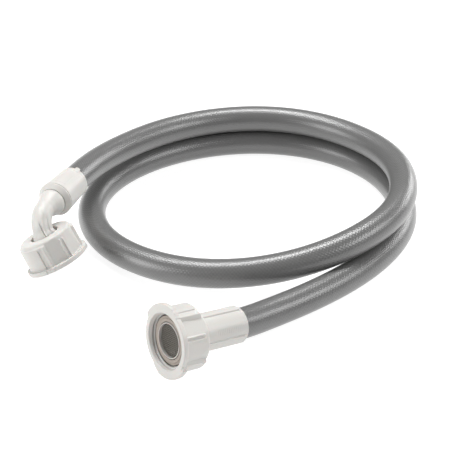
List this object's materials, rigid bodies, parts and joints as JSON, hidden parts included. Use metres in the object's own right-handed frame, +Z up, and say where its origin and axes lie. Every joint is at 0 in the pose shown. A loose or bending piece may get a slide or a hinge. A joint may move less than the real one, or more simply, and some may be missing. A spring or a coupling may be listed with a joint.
{
  "type": "braided supply hose",
  "caption": "Braided grey PVC supply hose with a straight union nut fitting at one end and a 90 degree elbow union nut fitting at the other.",
  "frame": {"origin": "on the surface the hose lies on, under the centre of the box around the two end fittings", "axes": "+Z up; the straight fitting lies towards -Y and the elbow fitting towards -X, with the coil of hose towards +Y and +X"},
  "size_m": [0.2101, 0.2342, 0.04],
  "materials": {
    "white_plastic": "satin off-white injection moulding",
    "grey_pvc": "satin grey PVC with fine ripples from the braid beneath",
    "polyester_yarn": "woven polyester yarn",
    "clear_pvc": "smooth inner tube",
    "beige_rubber": "matt beige sealing rubber",
    "stainless_mesh": "fine woven wire"
  },
  "bodies": {
    "root": {"hose_skin": "grey_pvc", "hose_braid": "polyester_yarn", "hose_liner": "clear_pvc", "tap_tail": "white_plastic", "tap_ferrule": "white_plastic", "tap_washer": "beige_rubber", "filter_ring": "white_plastic", "filter_mesh": "stainless_mesh", "elbow_ferrule": "white_plastic", "elbow_collar": "white_plastic", "elbow_body": "white_plastic", "elbow_washer": "beige_rubber"},
    "tap_nut": {"tap_nut": "white_plastic"},
    "elbow_nut": {"elbow_nut": "white_plastic"}
  },
  "joints": [
    {"name": "tap_nut_spin", "type": "hinge", "parent": "root", "child": "tap_nut", "pos_m": [0.01907, -0.05775, 0.01793], "axis": [-0.8021, -0.5682, 0.1838], "continuous": true},
    {"name": "elbow_nut_spin", "type": "hinge", "parent": "root", "child": "elbow_nut", "pos_m": [-0.03869, 0.02142, 0.00951], "axis": [0.4225, -0.197, -0.8847], "continuous": true}
  ]
}
